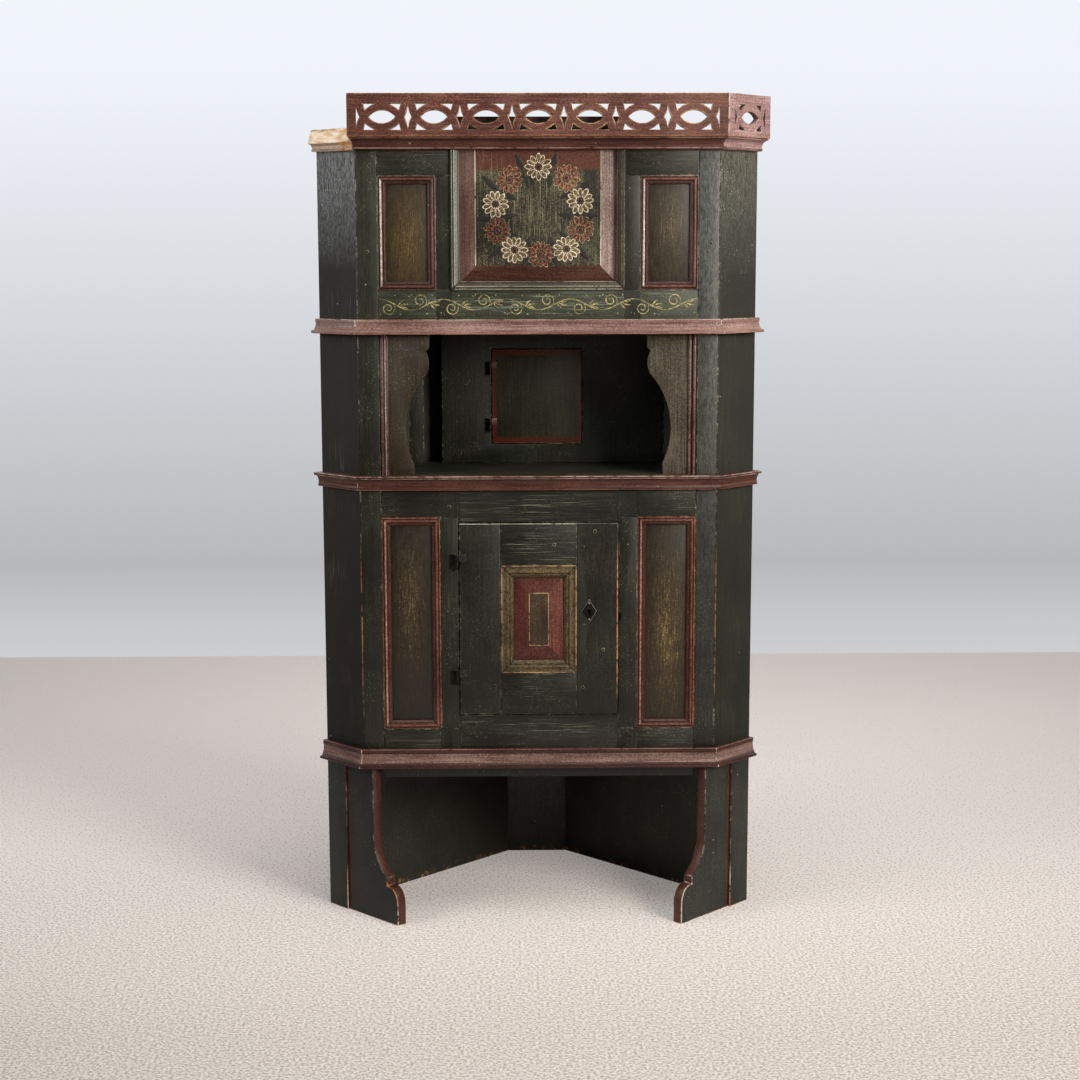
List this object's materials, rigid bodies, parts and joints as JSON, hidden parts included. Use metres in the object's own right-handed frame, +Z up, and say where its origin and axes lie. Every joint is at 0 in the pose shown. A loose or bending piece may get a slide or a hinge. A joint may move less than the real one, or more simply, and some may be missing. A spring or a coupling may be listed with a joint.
{
  "type": "corner cabinet",
  "caption": "Painted standing corner cupboard with a framed lower door, an open niche with a small inner door, a lift-up hatch above and a fretwork gallery, on flared board feet.",
  "frame": {"origin": "on the floor, midway across the front and midway between the toes and the back corner board", "axes": "+Z up, -Y towards the viewer in front, +X to the viewer's right"},
  "size_m": [0.9028, 0.5046, 1.6323],
  "materials": {
    "green_paint": "aged dark green oil paint, half gloss",
    "teal_paint": "aged blue-green oil paint with pale streaks",
    "red_paint": "aged red-brown oil paint, worn edges",
    "ochre_paint": "grained ochre-brown glaze",
    "olive_paint": "olive-ochre oil paint, worn edges",
    "bare_wood": "old bare softwood",
    "iron": "forged, dark"
  },
  "bodies": {
    "carcass": {"back_wall_left": "bare_wood", "back_wall_right": "bare_wood", "back_corner_board": "bare_wood", "side_board_left": "green_paint", "side_board_right": "green_paint", "top_board": "bare_wood", "niche_ceiling": "bare_wood", "niche_floor": "green_paint", "cupboard_floor": "bare_wood", "foot_left": "green_paint", "foot_right": "green_paint", "corner_stile_left": "green_paint", "corner_stile_right": "green_paint", "upper_stile_left": "green_paint", "upper_stile_right": "green_paint", "lower_stile_left": "green_paint", "lower_stile_right": "green_paint", "upper_rail": "green_paint", "band_rail": "teal_paint", "lower_rail_top": "green_paint", "lower_rail_bottom": "green_paint", "upper_panel_left": "ochre_paint", "upper_panel_right": "ochre_paint", "lower_panel_left": "ochre_paint", "lower_panel_right": "ochre_paint", "upper_panel_moulding_left": "red_paint", "upper_panel_moulding_right": "red_paint", "lower_panel_moulding_left": "red_paint", "lower_panel_moulding_right": "red_paint", "cornice": "red_paint", "cornice_left": "red_paint", "upper_waist_moulding": "red_paint", "lower_waist_moulding": "red_paint", "base_moulding": "red_paint", "gallery_front": "red_paint", "gallery_return": "red_paint", "hatch_moulding": "green_paint", "niche_bracket_left": "ochre_paint", "niche_bracket_right": "ochre_paint", "niche_back_strip": "green_paint", "niche_back_panel": "green_paint", "niche_hinge_pin_upper": "iron", "niche_hinge_pin_lower": "iron", "door_hinge_pin_upper": "iron", "door_hinge_pin_lower": "iron"},
    "lower_door": {"door_stile_left": "green_paint", "door_stile_right": "green_paint", "door_rail_top": "green_paint", "door_rail_bottom": "green_paint", "door_panel": "red_paint", "door_moulding": "olive_paint", "door_hinge_eye_upper": "iron", "door_hinge_eye_lower": "iron", "escutcheon": "iron", "lock_case": "iron"},
    "lock_bolt": {"lock_bolt": "iron"},
    "niche_door": {"niche_door": "ochre_paint", "niche_hinge_eye_upper": "iron", "niche_hinge_eye_lower": "iron"},
    "hatch": {"hatch_panel": "olive_paint"}
  },
  "joints": [
    {"name": "lower_door_hinge", "type": "hinge", "parent": "carcass", "child": "lower_door", "pos_m": [-0.1625, -0.19726, 0.6], "axis": [0, 0, -1], "range_deg": [0, 110]},
    {"name": "lock_bolt_slide", "type": "slide", "parent": "lower_door", "child": "lock_bolt", "axis": [1, 0, 0], "range_m": [0, 0.01]},
    {"name": "niche_door_hinge", "type": "hinge", "parent": "carcass", "child": "niche_door", "pos_m": [-0.0975, 0.02774, 1.04], "axis": [0, 0, -1], "range_deg": [0, 100]},
    {"name": "hatch_lift", "type": "slide", "parent": "carcass", "child": "hatch", "axis": [0, 0, 1], "range_m": [0, 0.24]}
  ]
}
